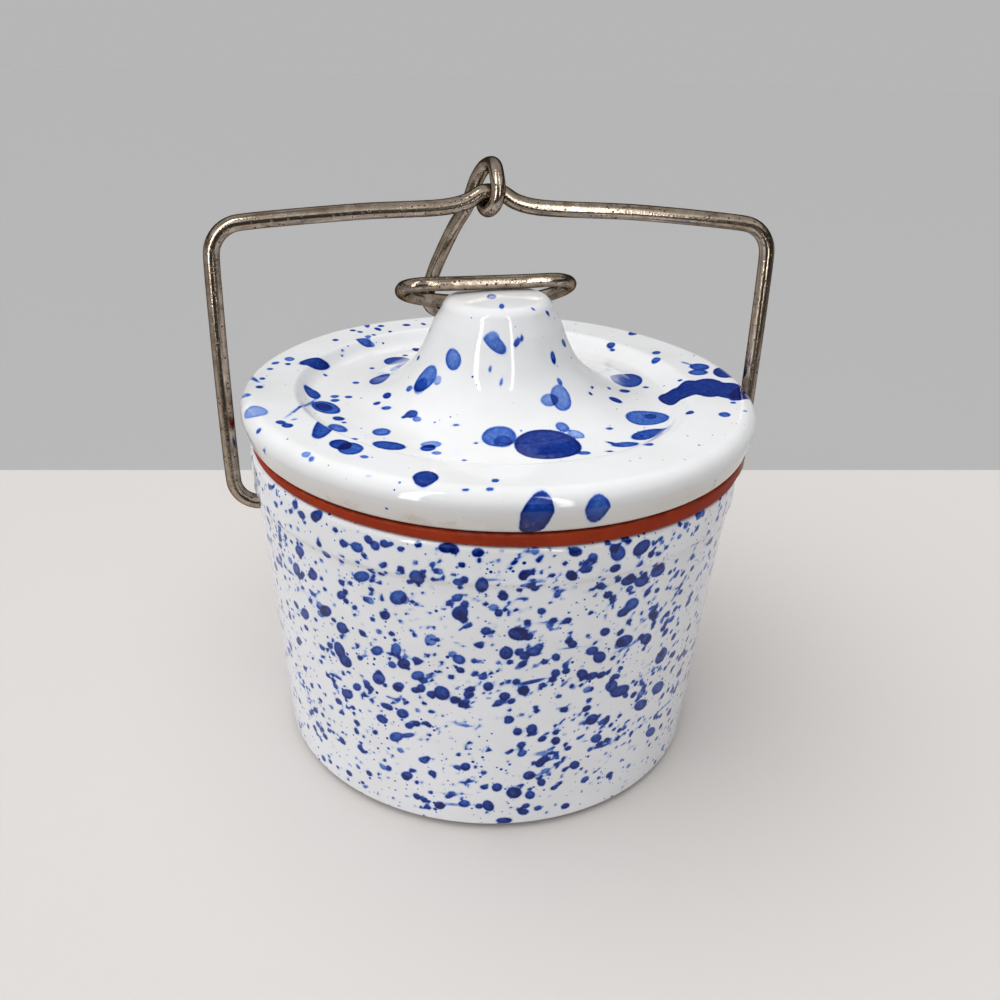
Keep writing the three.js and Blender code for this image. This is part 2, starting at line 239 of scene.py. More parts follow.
CROCK_DROPS = (
    (316, 516, 11, 10, 1.1), (361.4, 576.5, 16, 10.5, 0.9), (398.3, 597.6, 17, 14, 0.85),
    (405, 600, 9, 8, 0.4), (460, 613, 15.5, 14, 1.1), (465, 604, 8, 7, 0.9), (464, 620, 7.5, 6, 1),
    (441.7, 693, 16, 13, 1.1, -30), (454.7, 700, 9, 7.5, 1.1), (465.5, 702, 8.5, 6, 1),
    (339.5, 650, 17, 9, 1.1, -65), (345.5, 661, 15, 9, 1.1, -50),
    (403.7, 663.7, 12.5, 10, 1.15, -20), (417.8, 675.6, 13, 9, 0.8),
    (378.8, 678.2, 14, 11, 0.9, -45), (398.3, 686.5, 11, 8.5, 0.95), (421, 688.2, 9, 8, 1, -30),
    (430.8, 640, 12.5, 11.5, 0.5), (396, 650, 10, 14, 0.75), (377, 650.7, 11.5, 9, 0.85),
    (459, 659.4, 13, 9, 0.8, -20), (325.6, 611, 12, 9.5, 1.1, -40), (305, 613.8, 12, 6.5, 1, -70),
    (312.6, 574.8, 11, 8, 1, -60), (296.4, 569, 13, 6, 0.9, -75), (299.6, 551, 12, 7, 1, -60),
    (342, 628, 13, 9, 1.05, -50), (347.3, 694, 12, 8, 1.05, -35), (357, 687, 8.5, 7, 0.95, -35),
    (402.6, 713.6, 12, 9, 0.95, -20), (396, 736.8, 13, 9, 0.8), (408, 735.3, 13, 4.5, 0.8, 5),
    (382, 719, 12.5, 7, 0.95, -35), (488.3, 686.5, 10, 8.8, 1.15), (468.8, 694, 10.5, 8, 0.95),
    (416.7, 578, 16, 9.5, 1.05, -25), (447, 548, 17, 10, 1.2), (478, 553, 12, 8, 1.1),
    (481.8, 585.6, 13, 10.5, 1.05), (357, 547.3, 13, 9, 0.85, -30), (375, 545.5, 11, 8, 0.8, -50),
    (341.5, 595, 9, 8.5, 1), (385.3, 615.4, 9.5, 8.5, 1), (486, 631, 10, 8, 1),
    (407, 775.4, 11.5, 7.5, 1, -10), (465.5, 766.7, 9.6, 7.8, 1.1), (439.5, 805.3, 10, 7.3, 1, -15),
    (464.4, 803.6, 11, 7, 0.85), (488.3, 805.7, 12, 9.5, 1.1, -40), (497, 787.3, 10, 8, 1.1),
    (518.2, 634, 19.5, 13, 1.15, -10), (506.3, 653, 13.5, 12.5, 1.1), (533.4, 651.8, 15, 9, 0.95),
    (539.4, 646.4, 9, 6, 0.8), (599.5, 657.2, 13, 10.5, 1.1, 35), (592, 650.7, 13, 7.5, 0.95, 20),
    (582.2, 674, 11, 9.5, 1.1), (592, 676, 13, 6.5, 1, 25), (556, 657.2, 8.5, 7.5, 1),
    (555.7, 673, 8.5, 8, 1), (572.4, 644, 9.5, 7.5, 1), (611.4, 686, 13, 10, 0.9, 40),
    (620, 691, 20, 9.5, 1.1, 25), (592, 719.4, 13.5, 9, 1.1, 35), (523.6, 690.4, 11.5, 9, 1.1),
    (504.7, 696.2, 10.5, 8, 1), (531, 682, 28, 3.4, 0.9, 12), (531.8, 729.2, 11, 9.5, 1.1, 30),
    (517.5, 731.6, 9, 7.5, 1.1), (555.7, 740.7, 9, 7.5, 1.1, 10), (596.2, 738.5, 11, 8, 0.95, 20),
    (574.6, 765, 10, 7.8, 1.1, 20), (529, 775.4, 12, 8, 1.05, 15), (541.4, 782.3, 8, 7.5, 1.05),
    (513.9, 792.7, 14.5, 11, 1.2), (530, 795, 9.8, 8, 1, 10), (523.2, 811.8, 10.5, 6, 1.1),
    (504, 820.5, 15, 5.5, 1.1), (618, 553, 16, 14, 0.9, 60), (641.8, 547.7, 20, 11, 1.15, 45),
    (575.6, 552, 13, 9, 1), (572.4, 576.3, 10.5, 9, 1.1), (593, 557.5, 9.5, 9, 0.85),
    (523.2, 576.3, 9, 8, 1.1), (615.3, 568.3, 11.5, 7, 1.15, 25), (628.8, 580.2, 16, 8.5, 1.1, 25),
    (641.8, 581.3, 15, 9.5, 0.95, 25), (658, 570.5, 16, 10, 0.95, 40), (632, 604, 15, 10, 0.9, 40),
    (623.4, 612.3, 14, 7, 1.1, 30), (653.7, 615, 11.5, 9, 0.5, 40), (624.4, 641, 18, 10, 1.1, 25),
    (605, 631.8, 10, 7.5, 1.1, 25), (646, 638.8, 12, 9, 1, 40), (640.7, 705, 14, 8.5, 1, 40),
    (650.5, 732, 11, 7, 0.9, 45), (658, 687.6, 15, 8, 0.9, 50), (661.3, 656, 18, 7, 0.95, 55),
    (503.4, 596.5, 10, 8, 1.1), (498.7, 612.8, 8, 8, 1), (541.6, 611.2, 8.5, 6.5, 1),
)

# Random droplets
SINGLE_DROPS = 3000
DROP_CLUSTERS = 330
CLUSTER_SPREAD = (3.2, 2.5)  # round the wall and up it
SMEARS = 50
SEEN_SIDE = math.radians(-99)  # direction of the camera from the crock's axis
# Usual half width, how much it varies, and the greatest on the seen side, whose large droplets are
# in the rows above, and elsewhere
USUAL_DROP = 0.40
DROP_VARIETY = 0.52
LARGEST_SEEN = 0.95
LARGEST_FAR = 1.9
# Strengths of the blue, each with its chance
INK_CHANCES = ((1.15, 0.4), (1.0, 0.3), (0.8, 0.18), (0.5, 0.12))
FAR_TOP_DROPS = 26
FAR_EDGE_DROPS = 9
FAR_KNOB_DROPS = 7
FAR_KNOB_SIDE = ((22, 15.5), (102.5, 114))  # radii and heights that the knob's droplets lie between
# Rows are the cell's size, the least and greatest radius, the share of cells with a speck, the
# least and greatest strength, and a shift that keeps the layers apart
CROCK_SPECKS = (
    (2.2, (0.12, 0.4), 0.5, (0.45, 1.0), (3, 8, 5)),
    (1.4, (0.06, 0.22), 0.5, (0.35, 0.95), (12, 1, 9)),
)
LID_SPECKS = (
    (3.2, (0.1, 0.32), 0.15, (0.4, 1.0), (5, 2, 3)),
    (2.1, (0.05, 0.18), 0.18, (0.5, 1.1), (12, 7, 9)),
)
# Rows are the size and the reach of the raggedness of droplets' edges
CROCK_RAGGED = ((1.5, 0.14), (0.45, 0.08))
LID_RAGGED = ((1.5, 0.22), (0.45, 0.14))
# Strength of the blue by the distance in millimetres outside a droplet's edge
DROP_EDGE = ((-1.5, 0.74), (-0.9, 0.79), (-0.45, 0.93), (-0.2, 1.0), (-0.05, 0.86), (0.06, 0.4),
             (0.2, 0.08), (0.55, 0.0))
FAR = 1.5  # distance kept where no droplet is near
WALL_DROP_DEPTH = 2.5  # how far a droplet reaches to both sides of its middle's tangent plane
LID_DROP_DEPTH = 6.0
TOUCHING = 0.8  # share of their half widths within which two droplets touch
JOINING_INK = 1.25  # stronger droplets run together
INK_BLEND = 0.6  # distance over which one droplet's blue gives way to the next one's
POOLING = 0.22  # how much more blue gathers at a droplet's lower end
# How uneven the outlines of droplets are, and the reach over which overlapping ones run together
RANDOM_OUTLINE = (0.07, 0.2)
SEEN_OUTLINE = (0.06, 0.7)
DROP_LAYERS = 3

# Colours
CROCK_WHITE = (0.88, 0.89, 0.925)
LID_WHITE = (0.84, 0.845, 0.86)
INK_LIMIT = 1.4
INK_COLOURS = (
    (0.16, (0.50, 0.59, 0.83)),
    (0.36, (0.17, 0.29, 0.69)),
    (0.56, (0.043, 0.128, 0.50)),
    (0.76, (0.010, 0.056, 0.35)),
    (0.95, (0.004, 0.027, 0.23)),
    (1.15, (0.002, 0.012, 0.14)),
    (1.4, (0.002, 0.006, 0.085)),
)
PLAIN = (1, 1, 1)
CLOUD_TINT = (0.955, 0.953, 0.94)
STAIN = (0.55, 0.44, 0.30)
# Tint that makes the lid darker and warmer towards its lower edge
LOW_EDGE_TINT = (0.87, 0.80, 0.72)
PINHOLE = (0.25, 0.22, 0.18)
# The foot is bare clay, painted much darker than the clay is as painted shade of the contact under the
# crock, up to the heights below
BARE_CLAY_DARKENED_AS_SHADE = (0.24, 0.19, 0.14)
BARE_SHADED_FOOT_HEIGHTS = (1.5, 2.05)  # the clay is bare under the first and glazed over the second
RUBBER = ((0.3, (0.27, 0.022, 0.003)), (0.7, (0.36, 0.034, 0.005)))
WORN_RUBBER = (0.45, 0.15, 0.07)
DUST = (0.5, 0.25, 0.15)
STEEL = ((0.28, (0.22, 0.17, 0.125)), (0.5, (0.38, 0.31, 0.24)), (0.72, (0.52, 0.445, 0.36)))
DRAWN_STEEL = (0.20, 0.155, 0.115)
# Long dark streaks along the wire: partly tarnish, partly painted reflection of dark surroundings
DARK_STREAK_TARNISH_AND_REFLECTION = (0.10, 0.075, 0.055)
PITTED_STEEL = (0.05, 0.035, 0.022)
STEEL_EDGE = (0.12, 0.11, 0.10, 1)


# Camera


def add_camera():
    data = bpy.data.cameras.new("camera")
    data.sensor_width = SENSOR
    data.lens = FOCAL_PIXELS * SENSOR / FRAME_PIXELS
    data.shift_x = (FRAME_PIXELS / 2 - CENTRE_PIXEL[0]) / FRAME_PIXELS
    data.shift_y = (CENTRE_PIXEL[1] - FRAME_PIXELS / 2) / FRAME_PIXELS
    data.clip_start = 10 * MM
    camera = bpy.data.objects.new("camera", data)
    turn = (
        Matrix.Rotation(math.radians(CAMERA_HEADING), 4, "Z")
        @ Matrix.Rotation(math.radians(CAMERA_TILT), 4, "X")
        @ Matrix.Rotation(math.radians(CAMERA_ROLL), 4, "Z")
    )
    camera.matrix_world = Matrix.Translation(Vector(CAMERA_PLACE) * MM) @ turn
    bpy.context.scene.collection.objects.link(camera)
    bpy.context.scene.camera = camera
    return camera


def pixel_ray(camera, x, y):
    """Direction in which the camera sees a pixel of the photograph."""
    view = Vector((x - CENTRE_PIXEL[0], CENTRE_PIXEL[1] - y, -FOCAL_PIXELS))
    return (camera.matrix_world.to_3x3() @ view).normalized()


# Outlines: points (radius, height) of a turned shape, in millimetres


def arc(x, y, radius, start, end, steps=10):
    angles = np.radians(np.linspace(start, end, steps + 1))
    return [(x + radius * math.cos(a), y + radius * math.sin(a)) for a in angles]


def line(start, end, count):
    """Points along a straight stretch, without its ends."""
    shares = np.linspace(0, 1, count + 2)[1:-1]
    return [tuple(np.array(start) * (1 - s) + np.array(end) * s) for s in shares]


def filled(stops):
    """An outline in which a number stands for that many points on the straight stretch there."""
    points = []
    for before, stop, after in zip([stops[-1], *stops], stops, [*stops[1:], stops[0]]):
        points += line(before, after, stop) if isinstance(stop, int) else [stop]
    return points


def eased(start, end, steps, along=0):
    """Points of a step that starts and ends level in the coordinate that isn't along."""
    points = []
    for share in np.linspace(0, 1, steps + 1):
        slow = (1 - math.cos(math.pi * share)) / 2
        shares = (share, slow) if along == 0 else (slow, share)
        points.append(tuple(a + (b - a) * s for a, b, s in zip(start, end, shares)))
    return points


def even_points(spans, steps, count):
    """Evenly spaced points of a smooth curve. Its spans are (start, end, way out, way in), and the
    function count gives the number of gaps between the points from the curve's length."""
    dense = [
        (2 * b - 2 * c + out + into) * t**3 + (3 * c - 3 * b - 2 * out - into) * t**2 + out * t + b
        for b, c, out, into in spans
        for t in np.linspace(0, 1, steps, endpoint=False)
    ]
    dense = np.array([*dense, spans[-1][1]])
    walked = np.concatenate([[0], np.cumsum(np.linalg.norm(np.diff(dense, axis=0), axis=1))])
    at = np.linspace(0, walked[-1], count(walked[-1]) + 1)
    return np.stack([np.interp(at, walked, values) for values in dense.T], 1)


def smooth(points, count):
    """Evenly spaced points of a smooth outline through the given ones."""
    given = np.array([points[0], *points, points[-1]], float)
    spans = [(b, c, (c - a) / 2, (d - b) / 2)
             for a, b, c, d in zip(given, given[1:], given[2:], given[3:])]
    return [tuple(p) for p in even_points(spans, 40, lambda length: count)]


# Meshes


def shade(mesh):
    """Smooth shading, save at sharp edges."""
    mesh.polygons.foreach_set("use_smooth", [True] * len(mesh.polygons))
    mesh.set_sharp_from_angle(angle=math.radians(SHARP_EDGE))


def add_mesh(name, vertices, faces):
    mesh = bpy.data.meshes.new(name)
    mesh.from_pydata([tuple(v * MM for v in vertex) for vertex in vertices], [], faces)
    mesh.validate()
    shade(mesh)
    piece = bpy.data.objects.new(name, mesh)
    bpy.context.scene.collection.objects.link(piece)
    return piece


def ring_faces(rings, sides, closed=False):
    """Faces between each ring of points and the next, and from the last to the first if closed."""
    faces = []
    for i in range(rings if closed else rings - 1):
        low, high = i * sides, (i + 1) % rings * sides
        for k in range(sides):
            after = (k + 1) % sides
            faces.append((low + k, low + after, high + after, high + k))
    return faces


def turned(name, outline, sides, shape=lambda points: points):
    """A solid of revolution. The outline starts and ends on the axis, or closes on itself, and the
    function shape moves the solid's points."""
    closed = outline[0][0] > 0
    rings = outline if closed else outline[1:-1]
    angles = np.arange(sides) * 2 * math.pi / sides
    points = np.array([(r * math.cos(a), r * math.sin(a), z) for r, z in rings for a in angles])
    faces = ring_faces(len(rings), sides, closed)
    if not closed:
        first, last = len(points), len(points) + 1
        top = len(points) - sides
        points = np.concatenate([points, [(0, 0, outline[0][1]), (0, 0, outline[-1][1])]])
        for k in range(sides):
            after = (k + 1) % sides
            faces += (first, after, k), (last, top + k, top + after)
    return add_mesh(name, shape(points), faces)


def bend_curve(points, spacing):
    """Evenly spaced points of the smooth curve in space that a wire's centre follows."""
    given = [np.array(p, float) for p in points]
    given = [2 * given[0] - given[1], *given, 2 * given[-1] - given[-2]]
    spans = []
    for a, b, c, d in zip(given, given[1:], given[2:], given[3:]):
        before, here, after = (math.sqrt(np.linalg.norm(q - p)) for p, q in ((a, b), (b, c), (c, d)))
        out = ((b - a) / before - (c - a) / (before + here) + (c - b) / here) * here
        into = ((c - b) / here - (d - b) / (here + after) + (d - c) / after) * here
        spans.append((b, c, out, into))
    return even_points(spans, 60, lambda length: int(length / spacing))


def wire(name, points, diameter, spacing):
    """A round wire with slightly rounded ends. Its UV map runs along and round it."""
    centre = bend_curve(points, spacing)
    tangents = np.gradient(centre, axis=0)
    tangents /= np.linalg.norm(tangents, axis=1)[:, None]
    side = np.cross(tangents[0], SKEW_WAY)
    side /= np.linalg.norm(side)
    rows = []
    for tangent in tangents:
        side = side - tangent * side.dot(tangent)
        side /= np.linalg.norm(side)
        rows.append((side, np.cross(tangent, side)))
    last = len(centre) - 1
    rounding = [(WIRE_ROUND * (1 - math.cos(a)), 1 - WIRE_ROUND / (diameter / 2) * (1 - math.sin(a)))
                for a in np.radians((0, 30, 60))]
    stops = [
        *[(shift, 0, share) for shift, share in rounding],
        *[(0, i, 1.0) for i in range(2, last - 1)],
        *[(-shift, last, share) for shift, share in rounding[::-1]],
    ]
    vertices, along = [], []
    for shift, i, share in stops:
        u, v = rows[i]
        for a in np.arange(WIRE_SIDES) * 2 * math.pi / WIRE_SIDES:
            around = diameter / 2 * share * (math.cos(a) * u + math.sin(a) * v)
            vertices.append(centre[i] + tangents[i] * shift + around)
        along.append(i * spacing + shift)
    ends = range(WIRE_SIDES), range(len(vertices) - WIRE_SIDES, len(vertices))
    faces = [*ring_faces(len(stops), WIRE_SIDES), tuple(ends[0])[::-1], tuple(ends[1])]
    piece = add_mesh(name, vertices, faces)
    mesh = piece.data
    layer = mesh.uv_layers.new(name="along_wire")
    round_wire = math.pi * diameter
    for polygon in mesh.polygons:
        if polygon.loop_total != 4:
            continue
        places = [divmod(mesh.loops[i].vertex_index, WIRE_SIDES) for i in polygon.loop_indices]
        seam = max(k for _, k in places) == WIRE_SIDES - 1
        for i, (ring, k) in zip(polygon.loop_indices, places):
            turn = 1.0 if seam and k == 0 else k / WIRE_SIDES
            layer.data[i].uv = (along[ring], turn * round_wire)
    return piece


def cut(piece, cutter):
    """Takes cutter's shape out of piece."""
    modifier = piece.modifiers.new("cut", "BOOLEAN")
    modifier.object = cutter
    modifier.solver = "EXACT"
    bpy.context.view_layer.update()
    seen = piece.evaluated_get(bpy.context.evaluated_depsgraph_get())
    mesh = bpy.data.meshes.new_from_object(seen)
    piece.modifiers.clear()
    piece.data = mesh
    bpy.data.objects.remove(cutter)
    shade(mesh)


def waves(angle, rows):
    """Unevenness round a turned shape. Rows are the number of waves, their height and a turn."""
    return sum(height * np.sin(count * angle + turn) for count, height, turn in rows)


# Pieces


def crock_shape(points):
    """A thrown crock is not quite true: its wall stands a little to the left and its rim leans."""
    x, y, z = points.T
    share = 1 + CROCK_SPREAD / WAIST[0]
    high = np.clip((z - LEAN_START) / (RIM_HEIGHT - LEAN_START), 0, 1)
    return np.stack([x * share + CROCK_SHIFT, y * share, z + RIM_LEAN * x * high], 1)


def hole_outline(wall):
    """Outline, up from the bottom, of a blind hole whose lip flares at the wall's face."""
    lip, top = wall - HOLE_LIP, COLLAR_RADIUS - HOLE_BOTTOM + HOLE_CLEAR
    return [
        (0, 0),
        (HOLE_RADIUS, 0),
        (HOLE_RADIUS, lip),
        *[(HOLE_RADIUS + HOLE_LIP - x, lip + y) for x, y in arc(0, 0, HOLE_LIP, 0, 80, 6)],
        (HOLE_RADIUS + HOLE_LIP * 1.3, top),
        (0, top),
    ]


def add_crock():
    rim_low = RIM_HEIGHT - RIM_ROUND
    outline = filled([
        (0, 0), 4, (FOOT_RING[0] - RING_BEVEL, 0),
        (FOOT_RING[0], RING_BEVEL),
        FOOT_RING,
        *arc(FOOT_RADIUS - FOOT_ROUND, FOOT_RING[1] + FOOT_ROUND, FOOT_ROUND, -90, -8),
        *smooth([(FOOT_RADIUS, FOOT_RING[1] + FOOT_ROUND), WAIST, SHOULDER], 96),
        *eased(SHOULDER, (COLLAR_RADIUS, COLLAR_HEIGHT), 8, along=1)[1:], 9,
        *arc(COLLAR_RADIUS - RIM_ROUND, rim_low, RIM_ROUND, 0, 90), 3,
        *arc(MOUTH_RADIUS + RIM_ROUND, rim_low, RIM_ROUND, 90, 180), 4,
        *smooth([INNER_SHOULDER, INNER_WAIST, INNER_FOOT, FLOOR], 34), 6,
        (0, FLOOR[1]),
    ])
    crock = turned("crock_glazed", outline, GLAZED_SIDES, crock_shape)
    for side in (-1, 1):
        wall = WALL_AT_PIVOT + CROCK_SPREAD + side * CROCK_SHIFT - HOLE_BOTTOM
        hole = turned("hole", hole_outline(wall), HOLE_SIDES)
        hole.matrix_world = (
            Matrix.Translation(Vector((side * HOLE_BOTTOM, 0, PIVOT_HEIGHT)) * MM)
            @ Matrix.Rotation(side * math.pi / 2, 4, "Y")
        )
        cut(crock, hole)
    return crock


def lid_shape(points):
    """The lid's middle leans a little off its rim's centre, and its surface is a little uneven."""
    x, y, z = points.T
    radius = np.hypot(x, y)
    top = z > (LID_UNDERSIDE + LID_RIM) / 2
    well = np.clip((RIM_INNER + WELL_BLEND / 2 - radius) / WELL_BLEND, 0, 1)
    knob = np.clip((WELL_RADIUS - radius) / (WELL_RADIUS - FLARE[1][0]), 0, 1)
    well, knob = (share * share * (3 - 2 * share) for share in (well, knob))
    shift = (WELL_SHIFT * well * (1 - knob) + KNOB_SHIFT * knob) * top
    wave = waves(np.arctan2(y, x), LID_WAVES)
    upper = np.clip((z - LID_UNDERSIDE) / (LID_RIM - LID_UNDERSIDE), 0, 1) * (1 - knob)
    lean = KNOB_LEAN * x * knob * (z > KNOB_LEAN_START)
    return np.stack([x + shift + LID_OFFSET, y, z + (wave - LID_SUNK) * upper + lean], 1)


def add_lid():
    under_edge = LID_RADIUS - LID_UNDERCUT - LID_UNDER_ROUND
    knob_edge = KNOB_TOP_RADIUS - KNOB_TOP_ROUND
    outline = filled([
        (0, HOLLOW_TOP),
        *arc(HOLLOW_RADIUS - HOLLOW_ROUND, HOLLOW_TOP - HOLLOW_ROUND, HOLLOW_ROUND, 90, 0),
        *smooth([(HOLLOW_RADIUS, WELL_FLOOR + HOLLOW_FLARE), (HOLLOW_RADIUS + HOLLOW_FLARE, WELL_FLOOR),
                 (HOLLOW_MOUTH, CROWN_UNDERSIDE)], 16), 4,
        *arc(PLUG_INNER - PLUG_CORNER, CROWN_UNDERSIDE - PLUG_CORNER, PLUG_CORNER, 90, 0, 6),
        *arc(PLUG_INNER + PLUG_ROUND, PLUG_BOTTOM + PLUG_ROUND, PLUG_ROUND, 180, 270, 6),
        *arc(PLUG_RADIUS - PLUG_ROUND, PLUG_BOTTOM + PLUG_ROUND, PLUG_ROUND, -90, 0, 6),
        (PLUG_RADIUS, LID_UNDERSIDE), 4,
        *arc(under_edge, LID_UNDERSIDE + LID_UNDER_ROUND, LID_UNDER_ROUND, -90, -8, 8),
        *arc(LID_RADIUS - LID_EDGE_ROUND, LID_RIM - LID_EDGE_ROUND, LID_EDGE_ROUND, -8, 90, 18), 15,
        *eased((RIM_INNER, LID_RIM), (WELL_RADIUS, WELL_FLOOR), 14), 8,
        *smooth([(WELL_FLAT, WELL_FLOOR), *FLARE], 60),
        *arc(knob_edge, KNOB_TOP - KNOB_TOP_ROUND, KNOB_TOP_ROUND, 15, 88, 12),
        *line((knob_edge, KNOB_TOP), (0, KNOB_TOP + KNOB_DOME), 14),
        (0, KNOB_TOP + KNOB_DOME),
    ])
    return turned("lid_glazed", outline, GLAZED_SIDES, lid_shape)


def gasket_shape(points):
    """The ring's edge is a little uneven, and its underside follows the crock's rim."""
    x, y, z = points.T
    share = 1 + (waves(np.arctan2(y, x), GASKET_WAVES) - GASKET_SHRUNK) / GASKET_OUTER
    low = np.clip((GASKET_TOP - z) / (GASKET_TOP - GASKET_BOTTOM), 0, 1)
    x = x * share + LID_OFFSET
    return np.stack([x, y * share, z + RIM_LEAN * x * low], 1)


def add_gasket():
    edge, low, high = GASKET_OUTER - GASKET_ROUND, GASKET_BOTTOM, GASKET_TOP
    outline = filled([
        (GASKET_INNER, high),
        (GASKET_INNER, low), 4,
        *arc(edge, low + GASKET_ROUND, GASKET_ROUND, -90, 0, 5), 3,
        *arc(edge, high - GASKET_ROUND, GASKET_ROUND, 0, 90, 5), 4,
    ])
    return turned("gasket_ring", outline, GASKET_SIDES, gasket_shape)


def on_bail(x, rise):
    lean = math.radians(BAIL_LEAN)
    return (x, rise * math.sin(lean), PIVOT_HEIGHT + rise * math.cos(lean))


def add_bail():
    end_rise = BAR_RISE - BAR_SAG
    half = [
        (-BAIL_END, 0),
        *arc(FOOT_BEND - BAIL_HALF_WIDTH, FOOT_BEND, FOOT_BEND, -90, -180, 6),
        *arc(CORNER_BEND - BAIL_HALF_WIDTH, end_rise - CORNER_BEND, CORNER_BEND, 180, 95, 6),
        (-BAIL_HALF_WIDTH / 2, BAR_RISE - BAR_SAG * HALF_WAY_SAG),
    ]
    hump = [(-HUMP_HALF_WIDTH * out, BAR_RISE + HUMP_RISE * rise) for out, rise in HUMP_SHARES]
    plane = [
        *half,
        *[(HUMP_OFFSET + x, rise) for x, rise in hump],
        (HUMP_OFFSET, BAR_RISE + HUMP_RISE),
        *[(HUMP_OFFSET - x, rise) for x, rise in hump[::-1]],
        *[(-x, rise) for x, rise in half[::-1]],
    ]
    return wire("bail_wire", [on_bail(x, rise) for x, rise in plane], BAIL_WIRE, BAIL_SPACING)


def add_clamp():
    hump = np.array(on_bail(HUMP_OFFSET, BAR_RISE + HUMP_RISE))
    bar = np.array(BAR_CENTRE)
    loop = np.array((BAR_LENGTH / 2, LOOP_REACH, LOOP_DROP))
    turn = math.radians(BAR_TURN)
    half_bar = np.array((math.cos(turn), math.sin(turn), 0)) * BAR_LENGTH / 2
    lower = [bar + loop * row for row in LOWER_RUN_SHARES]
    points = [
        *[hump + EYE_RADIUS * np.array(row) for row in EYE_SHARES],
        *[hump + (lower[0] - hump) * row for row in LEG_SHARES],
        *lower,
        *[bar + half_bar * share for share in (1, 0.5, 0, -0.5, -1)],
        *[bar + loop * row for row in UPPER_RUN_SHARES],
    ]
    return wire("clamp_wire", points, CLAMP_WIRE, CLAMP_SPACING)


# Droplets: (middle, axes, half sizes, strength of the blue)


def seen_drop(camera, surface, x, y, length, width, ink, turn=0):
    """The droplet on a surface that the camera sees at a pixel, from a row of the tables above."""
    eye = camera.matrix_world.translation
    middle, normal, _, _ = surface.ray_cast(eye, pixel_ray(camera, x, y))

    def on_plane(px, py):
        ray = pixel_ray(camera, px, py)
        return eye + ray * ((middle - eye).dot(normal) / ray.dot(normal)) - middle

    angle = math.radians(turn)
    cosine, sine = math.cos(angle), math.sin(angle)
    ways = (on_plane(x + cosine * length / 2, y - sine * length / 2),
            on_plane(x + sine * width / 2, y + cosine * width / 2))
    axes, sizes, _ = np.linalg.svd(np.array(ways).T, full_matrices=False)
    axes = np.stack([axes[:, 0], axes[:, 1], np.cross(axes[:, 0], axes[:, 1])], 1)
    return np.array(middle) / MM, axes, sizes / MM, ink


def drop_at(angle, radius, height, length, width, turn, ink, flat=False):
    """A droplet on a round wall, or on a flat top, at an angle round the axis."""
    outward = np.array((math.cos(angle), math.sin(angle), 0))
    middle = np.array((*(outward[:2] * radius), height))
    across = np.array((-math.sin(angle), math.cos(angle), 0))
    if flat:
        outward, across = np.array((0, 0, 1)), outward
    up = np.cross(outward, across)
    cosine, sine = math.cos(turn), math.sin(turn)
    axes = np.stack([cosine * across + sine * up, cosine * up - sine * across, outward], 1)
    return middle, axes, np.array((length, width)), ink


def wall_drops():
    """Random droplets all round the crock, alone, in clusters and as short smears."""
    heights = [0, WAIST[1], SHOULDER[1], COLLAR_HEIGHT, RIM_HEIGHT]
    radii = [FOOT_RADIUS, WAIST[0], SHOULDER[0], COLLAR_RADIUS, COLLAR_RADIUS]
    places = []
    for _ in range(SINGLE_DROPS):
        places.append((rng.uniform(0, 2 * math.pi), RIM_HEIGHT * rng.uniform(0.01, 1) ** 0.8, 1))
    for _ in range(DROP_CLUSTERS):
        angle = rng.uniform(0, 2 * math.pi)
        height = RIM_HEIGHT * rng.uniform(0.03, 1) ** 0.75
        for _ in range(rng.integers(3, 8)):
            places.append((angle + rng.normal(0, CLUSTER_SPREAD[0]) / WAIST[0],
                           height + rng.normal(0, CLUSTER_SPREAD[1]), 0.9))
    inks, chances = zip(*INK_CHANCES)
    drops = []
    for angle, height, share in places:
        largest = LARGEST_SEEN if math.cos(angle - SEEN_SIDE) > 0.5 else LARGEST_FAR
        width = share * min(USUAL_DROP * math.exp(rng.normal(0, DROP_VARIETY)), largest)
        length = width * rng.uniform(1, 1.28)
        ink = rng.choice(inks, p=chances) * min(1, 0.55 + width)
        radius = np.interp(height, heights, radii)
        drops.append(drop_at(angle, radius, height, length, width, rng.uniform(-0.7, 0.7), ink))
    for _ in range(SMEARS):
        angle, height = rng.uniform(0, 2 * math.pi), rng.uniform(8, RIM_HEIGHT - 6)
        length, width = rng.uniform(1.2, 3.4), rng.uniform(0.2, 0.4)
        radius = np.interp(height, heights, radii)
        drops.append(drop_at(angle, radius, height, length, width, rng.uniform(-0.12, 0.12),
                             rng.uniform(0.35, 0.85)))
    return drops


def far_lid_drops():
    """Random droplets on the part of the lid that the knob and the rim hide from the camera."""

    def drop(angle, radius, height, width, largest, turn, stretch, inks, flat=False):
        width = min(width * math.exp(rng.normal(0, 0.6)), largest)
        turned_by = turn()
        length = width * rng.uniform(*stretch)
        return drop_at(angle, radius, height, length, width, turned_by, rng.uniform(*inks), flat)

    drops = []
    for _ in range(FAR_TOP_DROPS):
        angle, reach = rng.uniform(0.28, 0.72) * math.pi, rng.uniform(26, 60)
        height = WELL_FLOOR if reach < WELL_RADIUS else LID_RIM
        drops.append(drop(angle, reach, height, 0.55, 2.2, lambda: rng.normal(0, 0.3),
                          (1.1, 2.2), (0.6, 1.2), flat=True))
    for _ in range(FAR_EDGE_DROPS):
        angle = rng.uniform(-0.05, 1.05) * math.pi
        height = rng.uniform(LID_UNDERSIDE + 2, LID_RIM - 1)
        drops.append(drop(angle, LID_RADIUS, height, 0.6, 2.0, lambda: rng.uniform(0.6, 1.2),
                          (1.0, 1.8), (0.6, 1.1)))
    for _ in range(FAR_KNOB_DROPS):
        angle, share = rng.uniform(0.0, 1.0) * math.pi, rng.uniform(0, 1)
        radius, height = (np.interp(share, (0, 1), ends) for ends in FAR_KNOB_SIDE)
        drops.append(drop(angle, radius, height, 0.55, 1.8, lambda: math.pi / 2,
                          (1.2, 2), (0.5, 0.9)))
    return drops


